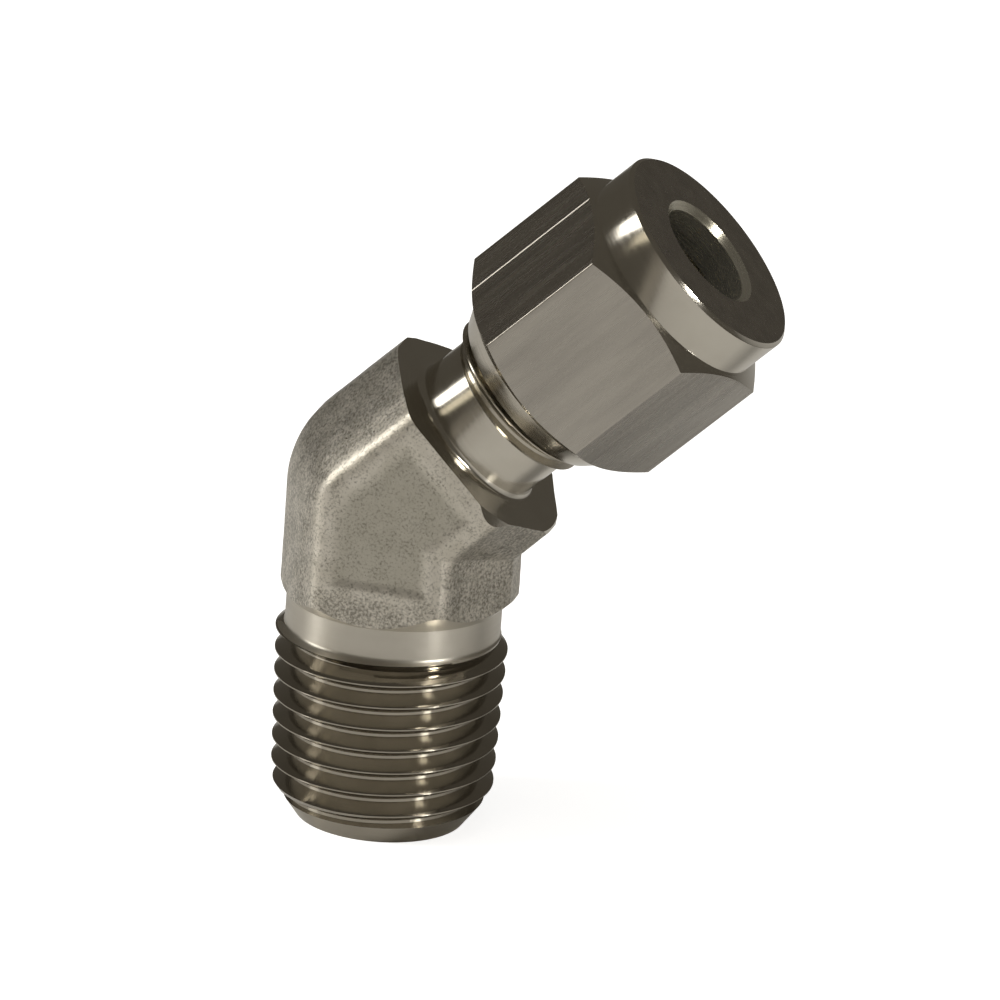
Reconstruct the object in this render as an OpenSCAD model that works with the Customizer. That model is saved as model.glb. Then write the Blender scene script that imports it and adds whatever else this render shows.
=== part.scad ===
// Male forty-five degree elbow for 1/4 inch tube, with a 1/4-18 taper pipe thread.
// A forged and machined stainless body, a hexagon nut and the two ferrules that
// grip the tube. Millimetres, +Z up along the pipe axis, the origin at the centre
// of the pipe thread's end face. The tube arm leans towards +X by the bend angle.
// Lengths on the tube arm are stations: distances from the point where the axes meet.

/* [Tube] */
// Outside diameter of the tube that the fitting takes
tube_d = 6.35; // [6.1:0.05:6.6]
// Radial clearance round the tube in the socket, the ferrules and the nut
tube_clearance = 0.075; // [0.05:0.005:0.12]
// Diameter of the flow passage
passage_d = 4.8; // [3.6:0.1:5.4]

/* [Pipe thread] */
// Major diameter of the pipe thread at its small end
pipe_major_d = 13.42; // [13.1:0.02:13.6]
// Pitch of the pipe thread
pipe_pitch = 1.411; // [1.2:0.001:1.5]
// Radial depth of the pipe thread
pipe_thread_depth = 1.05; // [0.8:0.05:1.12]
// Growth of the pipe thread's diameter for each millimetre of its length
pipe_taper = 0.0625; // [0.05:0.0005:0.07]
// Length of the threaded pipe end
pipe_thread_len = 11.24; // [10:0.01:12]
// Radius of the flat end face of the pipe end
pipe_end_r = 5.2; // [4.6:0.05:5.6]
// Length of the long chamfer that starts the pipe thread
pipe_lead_len = 2.2; // [1.5:0.1:3]
// Diameter of the plain neck above the pipe thread
pipe_neck_d = 13.1; // [12.7:0.02:13.2]

/* [Forged body] */
// Angle between the pipe axis and the tube axis
bend_angle = 45; // [40:1:50]
// Height of the point where the two axes meet
bend_height = 20.86; // [19:0.01:23]
// Distance across the front and back flats
body_across_flats = 13.24; // [13.22:0.02:14]
// Distance from the axes to the trimmed corner outside the bend
outer_corner = 7.04; // [6.9:0.02:7.6]
// Distance from the axes to the trimmed corner inside the bend
inner_corner = 7.5; // [7.3:0.02:8]
// Distance from the axes to the edge of the flat outside the bend
outer_flat = 3.4; // [2.8:0.1:4]
// Distance from the axes to the edge of the flat inside the bend
inner_flat = 4.6; // [4.2:0.1:5.2]
// Width of the strip where the forging's flash was trimmed
trim_strip = 2.1; // [1:0.1:2.6]
// Radius along the edges of the front and back flats
forged_edge_r = 1.4; // [0.8:0.1:1.8]
// Height of the lower end of the forged block
lower_shoulder = 14.05; // [13.6:0.05:14.6]
// Station of the machined shoulder on the tube arm
upper_shoulder = 6.05; // [5.8:0.05:6.2]
// Radius at which the upper shoulder's turned corner starts
upper_corner_r = 7.2; // [6.9:0.05:7.6]
// Rim left beside the recessed panel outside the bend
panel_outer_rim = 1.3; // [0.8:0.1:1.8]
// Rim left beside the recessed panel inside the bend
panel_inner_rim = 1.2; // [0.9:0.1:1.8]
// Rim left between the recessed panel and the block's lower end
panel_lower_rim = 2.6; // [2:0.1:3.2]
// Rim left between the recessed panel and the block's upper end
panel_upper_rim = 1.3; // [1:0.1:1.8]
// Depth of the recessed panel
panel_depth = 0.3; // [0.1:0.05:0.5]

/* [Tube end of the body] */
// Diameter of the neck between the shoulder and the nut thread
neck_d = 9.44; // [9.2:0.02:9.6]
// Radius of the fillet between the neck and the shoulder
neck_fillet = 0.4; // [0.2:0.05:0.7]
// Length of the plain neck
neck_len = 3.15; // [3:0.05:3.4]
// Major diameter of the nut thread
nut_thread_d = 10.92; // [10.7:0.02:10.96]
// Pitch of the nut thread
nut_thread_pitch = 1.27; // [1.1:0.01:1.4]
// Radial depth of the nut thread
nut_thread_depth = 0.72; // [0.5:0.02:0.78]
// Station of the step inside the socket that stops the tube
tube_stop = 9.8; // [9:0.1:10.5]
// Length of the straight part of the socket
socket_len = 3.7; // [3:0.1:4.5]
// Length of the tapered seat that closes the front ferrule
seat_len = 4.0; // [3.4:0.1:4.4]
// Half angle of the tapered seat
seat_angle = 12; // [10:0.5:13]
// Chamfer on the end of the nut thread
thread_end_chamfer = 0.45; // [0.3:0.05:0.6]

/* [Ferrules] */
// How far the front ferrule's nose stands off the small end of the seat
nose_standoff = 1.1; // [0.8:0.1:1.6]
// Length of the front ferrule
front_ferrule_len = 5.5; // [5.2:0.1:6]
// Outside diameter of the front ferrule
front_ferrule_d = 9.0; // [8.8:0.05:9.15]
// Depth of the cup in the front ferrule's back end
cup_depth = 0.9; // [0.7:0.05:1]
// Length of the back ferrule
back_ferrule_len = 2.55; // [2.4:0.05:3]
// Wall of the back ferrule's barrel
back_barrel_wall = 0.8; // [0.6:0.05:0.9]
// Wall of the back ferrule's flange
back_flange_wall = 1.15; // [1:0.05:1.2]
// Length of the back ferrule's flange in front of its bevel
back_flange_len = 0.45; // [0.3:0.05:0.6]
// Bevel on the back ferrule's back end
back_bevel = 0.65; // [0.4:0.05:0.75]
// Gap between the loose parts while the nut is finger tight
loose_gap = 0.06; // [0.04:0.01:0.1]

/* [Nut] */
// Distance across the nut's flats
nut_across_flats = 14.29; // [14:0.01:14.6]
// Whole length of the nut
nut_len = 14.25; // [13.9:0.05:14.6]
// Length of the round collar in front of the hexagon
collar_len = 2.74; // [2.2:0.02:3.2]
// Diameter of the collar
collar_d = 13.72; // [13.2:0.02:13.9]
// Chamfer round the collar's end face
collar_chamfer = 0.22; // [0.1:0.01:0.4]
// Length of the nut's bore, from its inner shoulder to its end face
land_len = 2.45; // [2:0.05:3]
// Chamfer at the mouth of the nut's bore
bore_chamfer = 0.32; // [0.2:0.02:0.5]
// Angle of the chamfers on the hexagon's corners
hex_chamfer_angle = 30; // [25:1:35]
// Width of the narrow ring that is the nut's back face
nut_back_ring = 0.12; // [0.08:0.01:0.3]
// Length of the turned cone on the nut's back end
nut_back_cone = 1.3; // [1:0.05:1.5]
// Radius at which that cone meets the chamfer of the hexagon
nut_cone_r = 6.5; // [6.3:0.05:6.8]
// Radial clearance between the nut and the crests of the body's thread
thread_clearance = 0.08; // [0.06:0.01:0.12]
// Radial clearance between the nut's chamber and the front ferrule
chamber_clearance = 0.15; // [0.1:0.01:0.2]
// Length of the wide chamber past the body's end, room for pulling the nut up
pull_up_room = 1.9; // [1.7:0.1:2.1]

/* [Hidden] */

round_fn = 64;
eps = 0.01;
point_angle = 31;
thread_flank_angle = 30;
root_flat_share = 0.12;
passage_chamfer = 0.35;
thread_lead_len = 0.65;
nut_mouth_chamfer = 0.04;
edge_steps = 5;

flat_y = body_across_flats / 2;
passage_r = passage_d / 2;
tube_r = tube_d / 2 + tube_clearance;
neck_r = neck_d / 2;
thread_r = nut_thread_d / 2;
pipe_neck_r = pipe_neck_d / 2;

// Stations along the tube arm, each from the one before it
neck_end = upper_shoulder + neck_len;
seat_start = tube_stop + socket_len;
body_end = seat_start + seat_len;
seat_mouth_r = tube_r + seat_len * tan(seat_angle);
nose_tip = seat_start + nose_standoff;
nose_tip_r = tube_r + nose_standoff * tan(seat_angle) - loose_gap;
front_r = front_ferrule_d / 2;
front_shoulder = seat_start + (front_r + loose_gap - tube_r) / tan(seat_angle);
front_back = nose_tip + front_ferrule_len;
cup_start = front_back - cup_depth;
back_tip = cup_start + 0.25 * cup_depth;
cone_gap = loose_gap * sqrt(2);
back_tip_r = tube_r + (back_tip - cup_start) - cone_gap;
barrel_r = tube_r + back_barrel_wall;
barrel_start = back_tip + barrel_r - back_tip_r;
back_back = back_tip + back_ferrule_len;
flange_r = tube_r + back_flange_wall;
bevel_start = back_back - back_bevel;
flange_start = bevel_start - back_flange_len;
chamber_r = front_r + chamber_clearance;
inner_shoulder = bevel_start + cone_gap + flange_r - chamber_r;
land_start = inner_shoulder + chamber_r - tube_r;
nut_end = land_start + land_len;
nut_back = nut_end - nut_len;
chamber_start = body_end + pull_up_room;
nut_bore_r = thread_r + thread_clearance;
nut_back_r = nut_bore_r + nut_mouth_chamfer + nut_back_ring;
collar_r = collar_d / 2;
collar_base = nut_end - collar_len;
nut_flat_r = nut_across_flats / 2;
nut_corner_r = nut_flat_r / cos(30);

// Places its children on the tube arm: +Z becomes the tube axis, stations are heights
module on_tube_arm() {
    translate([0, 0, bend_height]) rotate([0, bend_angle, 0]) children();
}

// A drilled hole with a pointed bottom, from the start down to the depth
module drilled(r, start, bottom) {
    translate([0, 0, start]) cylinder(h = bottom - start, r = r, $fn = round_fn);
    translate([0, 0, bottom])
        cylinder(h = r * tan(point_angle), r1 = r, r2 = 0, $fn = round_fn);
}

// Outline of a turned thread's ridges, as radius against length, from the low
// radius at the axis out to V-shaped crests. The grow value is the radius gained
// for each millimetre of length.
function thread_outline(start, length, pitch, crest_r, depth, grow, phase) =
    let (
        turns = ceil(length / pitch) + 1,
        half_root = pitch * root_flat_share / 2,
        half_crest = pitch / 2 - half_root - depth * tan(thread_flank_angle),
        first = start + phase - pitch
    )
    [
        for (turn = [0 : turns]) each
            let (mid = first + turn * pitch, r = crest_r + grow * (mid - start))
            [
                [r - depth, mid - pitch / 2 + half_root],
                [r, mid - half_crest],
                [r, mid + half_crest],
                [r - depth, mid + pitch / 2 - half_root],
            ]
    ];

// Turned solid with ridges between two heights and inside an outer envelope
module threaded_rod(start, length, pitch, crest_r, depth, grow, phase, envelope) {
    ridges = thread_outline(start, length, pitch, crest_r, depth, grow, phase);
    first = ridges[0];
    last = ridges[len(ridges) - 1];
    rotate_extrude($fn = round_fn)
        intersection() {
            polygon(concat([[0, first[1]]], ridges, [[0, last[1]]]));
            polygon(envelope);
        }
}

// Points of the forging's round edge, from the front flat to the slanted face
function round_edge(corner, flat) =
    let (
        slant = atan2(corner - flat, flat_y - trim_strip / 2),
        run = forged_edge_r * tan((90 - slant) / 2),
        centre = [flat - run, forged_edge_r - flat_y]
    )
    [
        for (step = [0 : edge_steps])
            let (turn = (90 - slant) * step / edge_steps)
            centre + forged_edge_r * [sin(turn), -cos(turn)]
    ];

// Half section of the forging on one side of an arm's axis, out to the trimmed strip
module half_section(corner, flat) {
    front = concat([[0, -flat_y]], round_edge(corner, flat), [[corner, -trim_strip / 2]]);
    back = [for (i = [len(front) - 1 : -1 : 0]) [front[i][0], -front[i][1]]];
    polygon(concat(front, back));
}

// Straight arm of the forging, from one height to another
module forged_arm(low, high) {
    translate([0, 0, low]) linear_extrude(high - low) {
        half_section(inner_corner, inner_flat);
        mirror([1, 0]) half_section(outer_corner, outer_flat);
    }
}

// The forged bend: the outer half section swept round the axes' meeting point
module forged_bend() {
    translate([0, 0, bend_height]) rotate([90, 0, 0])
        rotate([0, 0, 180 - bend_angle])
            rotate_extrude(angle = bend_angle, $fn = 4 * round_fn)
                half_section(outer_corner, outer_flat);
}

// Lower end of the block, turned to a cone that runs out over its corners
module lower_turning() {
    rise = inner_corner + 1 - pipe_neck_r;
    translate([0, 0, lower_shoulder])
        cylinder(h = rise, r1 = pipe_neck_r, r2 = pipe_neck_r + rise, $fn = round_fn);
    translate([0, 0, lower_shoulder + rise])
        cylinder(h = bend_height, r = bend_height, $fn = round_fn);
}

// Upper end of the block, turned flat with a small cone over its corners
module upper_turning() {
    drop = inner_corner + 1 - upper_corner_r;
    translate([0, 0, upper_shoulder - drop])
        cylinder(h = drop, r1 = upper_corner_r + drop, r2 = upper_corner_r, $fn = round_fn);
    translate([0, 0, upper_shoulder - drop - bend_height])
        cylinder(h = bend_height, r = bend_height, $fn = round_fn);
}

// Recessed panel on the front flat, which follows both arms and the bend
module panel_recess() {
    outer = outer_flat - panel_outer_rim;
    inner = inner_flat - panel_inner_rim;
    low = lower_shoulder + panel_lower_rim;
    high = upper_shoulder - panel_upper_rim;
    depth = 2 * panel_depth;
    translate([-outer, -flat_y - panel_depth, low])
        cube([outer + inner, depth, bend_height - low]);
    on_tube_arm() translate([-outer, -flat_y - panel_depth, 0])
        cube([outer + inner, depth, high]);
    translate([0, -flat_y + panel_depth, bend_height]) rotate([90, 0, 0])
        cylinder(h = depth, r = outer, $fn = round_fn);
}

module forged_block() {
    difference() {
        intersection() {
            union() {
                forged_arm(lower_shoulder, bend_height);
                forged_bend();
                on_tube_arm() forged_arm(0, upper_shoulder);
            }
            lower_turning();
            on_tube_arm() upper_turning();
        }
        panel_recess();
    }
}

// Pipe end: taper thread, its long lead chamfer and the plain neck
module pipe_end() {
    crest = pipe_major_d / 2;
    wide = crest + pipe_taper * pipe_thread_len;
    threaded_rod(
        0, pipe_thread_len, pipe_pitch, crest, pipe_thread_depth, pipe_taper / 2,
        pipe_thread_len % pipe_pitch - 0.42 * pipe_pitch,
        [[0, 0], [pipe_end_r, 0], [wide, pipe_lead_len], [wide, pipe_thread_len], [0, pipe_thread_len]]
    );
    translate([0, 0, pipe_thread_len - eps])
        cylinder(h = lower_shoulder + 1 - pipe_thread_len, r = pipe_neck_r, $fn = round_fn);
}

// Tube end, as stations: fillet, neck, nut thread and its chamfered end
module tube_end() {
    translate([0, 0, upper_shoulder - 1])
        cylinder(h = neck_len + 1, r = neck_r, $fn = round_fn);
    rotate_extrude($fn = round_fn)
        translate([0, upper_shoulder])
            difference() {
                translate([0, -eps]) square([neck_r + neck_fillet, neck_fillet + eps]);
                translate([neck_r + neck_fillet, neck_fillet]) circle(r = neck_fillet, $fn = round_fn);
            }
    threaded_rod(
        neck_end, body_end - neck_end, nut_thread_pitch, thread_r, nut_thread_depth, 0,
        thread_lead_len + nut_thread_pitch / 2,
        [
            [0, neck_end - eps], [neck_r, neck_end - eps], [thread_r, neck_end + thread_lead_len],
            [thread_r, body_end - thread_end_chamfer],
            [thread_r - thread_end_chamfer, body_end], [0, body_end],
        ]
    );
}

// Socket for the tube: straight part, tapered seat and the stop at its bottom
module tube_socket() {
    translate([0, 0, tube_stop]) cylinder(h = socket_len + eps, r = tube_r, $fn = round_fn);
    translate([0, 0, seat_start])
        cylinder(h = seat_len, r1 = tube_r, r2 = seat_mouth_r, $fn = round_fn);
    translate([0, 0, body_end]) cylinder(h = 1, r = seat_mouth_r, $fn = round_fn);
}

module elbow_body() {
    color("#A9A49A") difference() {
        union() {
            pipe_end();
            forged_block();
            on_tube_arm() tube_end();
        }
        drilled(passage_r, -1, bend_height);
        translate([0, 0, -eps])
            cylinder(h = passage_chamfer, r1 = passage_r + passage_chamfer, r2 = passage_r, $fn = round_fn);
        on_tube_arm() {
            mirror([0, 0, 1]) drilled(passage_r, -tube_stop - eps, 0);
            tube_socket();
        }
    }
}

module front_ferrule() {
    color("#B9B6AE") on_tube_arm() rotate_extrude($fn = round_fn)
        polygon([
            [tube_r, nose_tip], [nose_tip_r, nose_tip], [front_r, front_shoulder],
            [front_r, front_back], [tube_r + cup_depth, front_back], [tube_r, cup_start],
        ]);
}

module back_ferrule() {
    color("#C2BFB6") on_tube_arm() rotate_extrude($fn = round_fn)
        polygon([
            [tube_r, back_tip], [back_tip_r, back_tip], [barrel_r, barrel_start],
            [barrel_r, flange_start], [flange_r, flange_start], [flange_r, bevel_start],
            [flange_r - back_bevel, back_back], [tube_r, back_back],
        ]);
}

// Outside of the nut as it comes off the lathe: back cone, hexagon room and collar
module nut_turning() {
    reach = nut_corner_r + 1;
    tan_chamfer = tan(hex_chamfer_angle);
    cone_top = nut_back + nut_back_cone;
    rotate_extrude($fn = round_fn)
        polygon([
            [0, nut_back], [nut_back_r, nut_back], [nut_cone_r, cone_top],
            [reach, cone_top + (reach - nut_cone_r) * tan_chamfer],
            [reach, collar_base - (reach - collar_r) * tan_chamfer],
            [collar_r, collar_base], [collar_r, nut_end - collar_chamfer],
            [collar_r - collar_chamfer, nut_end], [0, nut_end],
        ]);
}

// Everything that is bored out of the nut, from its thread to its mouth
module nut_boring() {
    rotate_extrude($fn = round_fn)
        polygon([
            [0, nut_back - 1], [nut_bore_r + nut_mouth_chamfer + 1, nut_back - 1],
            [nut_bore_r, nut_back + nut_mouth_chamfer], [nut_bore_r, chamber_start],
            [chamber_r, chamber_start + nut_bore_r - chamber_r],
            [chamber_r, inner_shoulder], [tube_r, land_start],
            [tube_r, nut_end - bore_chamfer], [tube_r + bore_chamfer + 1, nut_end + 1],
            [0, nut_end + 1],
        ]);
}

module nut() {
    color("#A29F97") on_tube_arm() difference() {
        intersection() {
            translate([0, 0, nut_back]) cylinder(h = nut_len, r = nut_corner_r, $fn = 6);
            nut_turning();
        }
        nut_boring();
    }
}

elbow_body();
front_ferrule();
back_ferrule();
nut();
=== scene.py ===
"""Male forty-five degree elbow fitting: its looks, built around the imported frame.

The forged body and the nut are modelled here in millimetres, with their true helical
threads, the soft edges of the forging and the crisp edges of the turned ends. They
replace the plain solids of the frame and ride on the same bodies. The ferrules keep
their solids. All meshes end in metres, in the frame's own axes.
"""

from __future__ import annotations

import logging
import math
from dataclasses import dataclass, field
from enum import Enum
from typing import Sequence

import bmesh
import bpy
from mathutils import Matrix, Vector, noise

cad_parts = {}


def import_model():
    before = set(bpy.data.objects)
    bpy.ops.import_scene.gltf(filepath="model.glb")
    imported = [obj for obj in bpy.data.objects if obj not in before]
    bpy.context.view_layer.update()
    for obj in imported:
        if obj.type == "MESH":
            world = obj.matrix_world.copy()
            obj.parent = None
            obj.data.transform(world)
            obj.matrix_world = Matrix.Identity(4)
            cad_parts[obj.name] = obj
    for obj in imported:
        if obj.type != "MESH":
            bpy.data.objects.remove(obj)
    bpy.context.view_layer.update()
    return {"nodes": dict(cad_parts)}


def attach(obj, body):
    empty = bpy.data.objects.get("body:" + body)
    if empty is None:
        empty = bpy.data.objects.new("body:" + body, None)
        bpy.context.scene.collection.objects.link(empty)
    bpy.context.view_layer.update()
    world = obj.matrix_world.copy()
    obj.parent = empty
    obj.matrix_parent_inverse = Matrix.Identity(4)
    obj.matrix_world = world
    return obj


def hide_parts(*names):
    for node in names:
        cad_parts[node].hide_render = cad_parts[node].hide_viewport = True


LOG = logging.getLogger("elbow_fitting")
MM = 0.001
STAGE_CENTRE = Vector((0.006, 0.0, 0.02))
PIPE_STEPS = 160
ROUND_STEPS = 128
BORE_STEPS = 96
DRILL_TIP = math.tan(math.radians(31))
Point = tuple[float, float]
Profile = Sequence[Point]
Shape = bmesh.types.BMesh
Piece = bpy.types.Object
Tree = bpy.types.NodeTree
Node = bpy.types.Node
Socket = bpy.types.NodeSocket


class Finish(Enum):
    """The surfaces of the fitting, in the order of the material slots of a made piece."""

    FORGED = 0
    PIPE_NECK = 1
    PIPE_THREAD = 2
    TURNED = 3
    TUBE_THREAD = 4
    BORED = 5
    DRAWN = 6


class Cut(Enum):
    """What a boolean does with its tool."""

    JOIN = "UNION"
    KEEP = "INTERSECT"
    REMOVE = "DIFFERENCE"


def linear(code: str) -> tuple[float, float, float, float]:
    """Turns an sRGB hex value into a linear colour.

    Args:
        code: Six hex digits with a leading hash.

    Returns:
        Linear red, green, blue and an alpha of one.
    """
    channels = [int(code[i : i + 2], 16) / 255 for i in (1, 3, 5)]
    straight = [c / 12.92 if c <= 0.04045 else ((c + 0.055) / 1.055) ** 2.4 for c in channels]
    return (straight[0], straight[1], straight[2], 1.0)


def clamped(value: float) -> float:
    """Keeps a share between 0 and 1."""
    return min(1.0, max(0.0, value))


def heading(azimuth: float, height: float) -> Vector:
    """Unit vector away from the object, in degrees from its front and from the horizon.

    Args:
        azimuth: Degrees from the front, -Y, towards +X.
        height: Degrees above the horizon.

    Returns:
        A vector of length one.
    """
    turn, rise = math.radians(azimuth), math.radians(height)
    level = math.cos(rise)
    return Vector((math.sin(turn) * level, -math.cos(turn) * level, math.sin(rise)))


def in_scene(name: str, data: bpy.types.ID) -> Piece:
    """Makes an object of some data and links it to the scene.

    Args:
        name: The object's name.
        data: A mesh, lamp or camera.

    Returns:
        The linked object.
    """
    made = bpy.data.objects.new(name, data)
    bpy.context.scene.collection.objects.link(made)
    return made


def bare_tree(owner: bpy.types.Material | bpy.types.World) -> Tree:
    """Switches a material or a world to nodes, and empties its tree.

    Args:
        owner: The material or world.

    Returns:
        Its empty node tree.
    """
    owner.use_nodes = True
    owner.node_tree.nodes.clear()
    return owner.node_tree


def add_node(tree: Tree, kind: str, sockets: dict | None = None, **settings) -> Node:
    """Adds one shader node.

    Args:
        tree: The node tree that gets the node.
        kind: Blender's name for the kind of node.
        sockets: Input name or number to a value, or to an output socket to link.
        **settings: Attributes of the node.

    Returns:
        The new node.
    """
    node = tree.nodes.new(kind)
    for name, value in settings.items():
        setattr(node, name, value)
    for key, value in (sockets or {}).items():
        if isinstance(value, Socket):
            tree.links.new(value, node.inputs[key])
        else:
            node.inputs[key].default_value = value
    return node


def arm_matrix(height: float, angle: float) -> Matrix:
    """Places the tube arm: local +Z becomes the tube axis, and stations are heights."""
    return Matrix.Translation((0, 0, height)) @ Matrix.Rotation(angle, 4, "Y")


def arc(centre: Point, radius: float, start: float, end: float, steps: int) -> list[Point]:
    """Points of an arc in a profile.

    Args:
        centre: Radius and height of the arc's centre.
        radius: The arc's own radius.
        start: First angle in degrees, from the direction of growing radius.
        end: Last angle in degrees.
        steps: Number of straight steps along the arc.

    Returns:
        The points, both ends included.
    """
    turns = [math.radians(start + (end - start) * i / steps) for i in range(steps + 1)]
    return [(centre[0] + radius * math.cos(t), centre[1] + radius * math.sin(t)) for t in turns]


def revolved(profile: Profile, finish: Finish, steps: int = ROUND_STEPS) -> Shape:
    """Turns a profile into a solid round the Z axis.

    Args:
        profile: Radius and height of each point, from the axis to the axis.
        finish: The finish of its faces.
        steps: Facets in a full turn.

    Returns:
        A closed mesh.
    """
    mesh = bmesh.new()
    chain = [mesh.verts.new((r, 0, z)) for r, z in profile]
    edges = [mesh.edges.new(pair) for pair in zip(chain, chain[1:])]
    bmesh.ops.spin(
        mesh,
        geom=chain + edges,
        cent=(0, 0, 0),
        axis=(0, 0, 1),
        angle=2 * math.pi,
        steps=steps,
        use_merge=True,
    )
    bmesh.ops.remove_doubles(mesh, verts=mesh.verts, dist=1e-5)
    bmesh.ops.recalc_face_normals(mesh, faces=mesh.faces)
    for face in mesh.faces:
        face.material_index = finish.value
    return mesh


def into_object(mesh: Shape, name: str, place: Matrix | None = None) -> Piece:
    """Makes an object of a mesh and frees the mesh.

    Args:
        mesh: The mesh, in millimetres.
        name: The object's name.
        place: Where the mesh goes, or None to leave it.

    Returns:
        The object, linked to the scene, at the origin.
    """
    if place is not None:
        bmesh.ops.transform(mesh, matrix=place, verts=mesh.verts)
    data = bpy.data.meshes.new(name)
    mesh.to_mesh(data)
    mesh.free()
    return in_scene(name, data)


def settled(piece: Piece) -> Piece:
    """Applies a piece's modifiers to its mesh.

    Args:
        piece: The piece, with its modifiers.

    Returns:
        The piece, with a plain mesh.
    """
    graph = bpy.context.evaluated_depsgraph_get()
    data = bpy.data.meshes.new_from_object(piece.evaluated_get(graph))
    piece.modifiers.clear()
    old = piece.data
    piece.data = data
    bpy.data.meshes.remove(old)
    return piece


def combined(piece: Piece, tool: Piece, cut: Cut) -> Piece:
    """Joins, keeps or removes what a tool covers, and deletes the tool.

    Args:
        piece: The object that stays.
        tool: The closed object that shapes it.
        cut: What is done with the tool.

    Returns:
        The piece.
    """
    modifier = piece.modifiers.new("cut", "BOOLEAN")
    modifier.object = tool
    modifier.operation = cut.value
    modifier.solver = "MANIFOLD"
    settled(piece)
    bpy.data.objects.remove(tool)
    return piece


@dataclass(frozen=True)
class ThreadForm:
    """A right-hand thread with straight flanks, cut on a rod.

    Heights are along the rod. The crest passes the given height at the given angle,
    and climbs one pitch in a full turn.
    """

    pitch: float
    crest_r: float
    depth: float
    crest_height: float
    crest_angle: float
    crest_flat: float = 0.09
    root_flat: float = 0.16
    finish: Finish = Finish.TUBE_THREAD
    crest_rounding: float = 0.45
    taper: float = 0.0
    steps: int = 96

    def section(self, grow: float, sink: float) -> list[Point]:
        """Outline of the ridge, as radius and height about its crest.

        Args:
            grow: How much wider and taller it is than the true ridge.
            sink: How far its foot goes below the root.

        Returns:
            The corners of a closed outline.
        """
        foot = (self.pitch - self.root_flat * self.pitch) / 2 + grow
        tip = self.crest_flat * self.pitch / 2 + grow
        top = self.crest_r + grow
        rounding = self.crest_rounding * tip
        return [
            (self.crest_r - self.depth - sink, -foot),
            (self.crest_r - self.depth, -foot),
            (top - rounding, -tip),
            (top, -tip + rounding),
            (top, tip - rounding),
            (top - rounding, tip),
            (self.crest_r - self.depth, foot),
            (self.crest_r - self.depth - sink, foot),
        ]

    def ridge(self, low: float, high: float, grow: float = 0.0, sink: float = 0.25) -> Piece:
        """Winds the ridge from below one height to above another.

        Args:
            low: Height that the ridge starts below.
            high: Height that it ends above.
            grow: How much wider and taller it is than the true ridge.
            sink: How far its foot goes below the root.

        Returns:
            The ridge as a closed object, not yet placed on its arm.
        """
        back_turns = math.ceil((self.crest_height - low) / self.pitch) + 1
        start = self.crest_height - back_turns * self.pitch
        turns = math.ceil((high - start) / self.pitch) + 1
        mesh = bmesh.new()
        loop = [mesh.verts.new((r, 0, start + z)) for r, z in self.section(grow, sink)]
        face = mesh.faces.new(loop)
        bmesh.ops.spin(
            mesh,
            geom=[face] + list(face.edges) + loop,
            cent=(0, 0, 0),
            axis=(0, 0, 1),
            dvec=(0, 0, self.pitch / self.steps),
            angle=2 * math.pi * turns,
            steps=self.steps * turns,
        )
        bmesh.ops.rotate(
            mesh, verts=mesh.verts, cent=(0, 0, 0), matrix=Matrix.Rotation(self.crest_angle, 3, "Z")
        )
        for vert in mesh.verts:
            radius = vert.co.xy.length
            vert.co.xy *= 1 + self.taper * vert.co.z / radius
        bmesh.ops.recalc_face_normals(mesh, faces=mesh.faces)
        for face in mesh.faces:
            face.material_index = self.finish.value
        return into_object(mesh, "thread_ridge")


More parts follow.
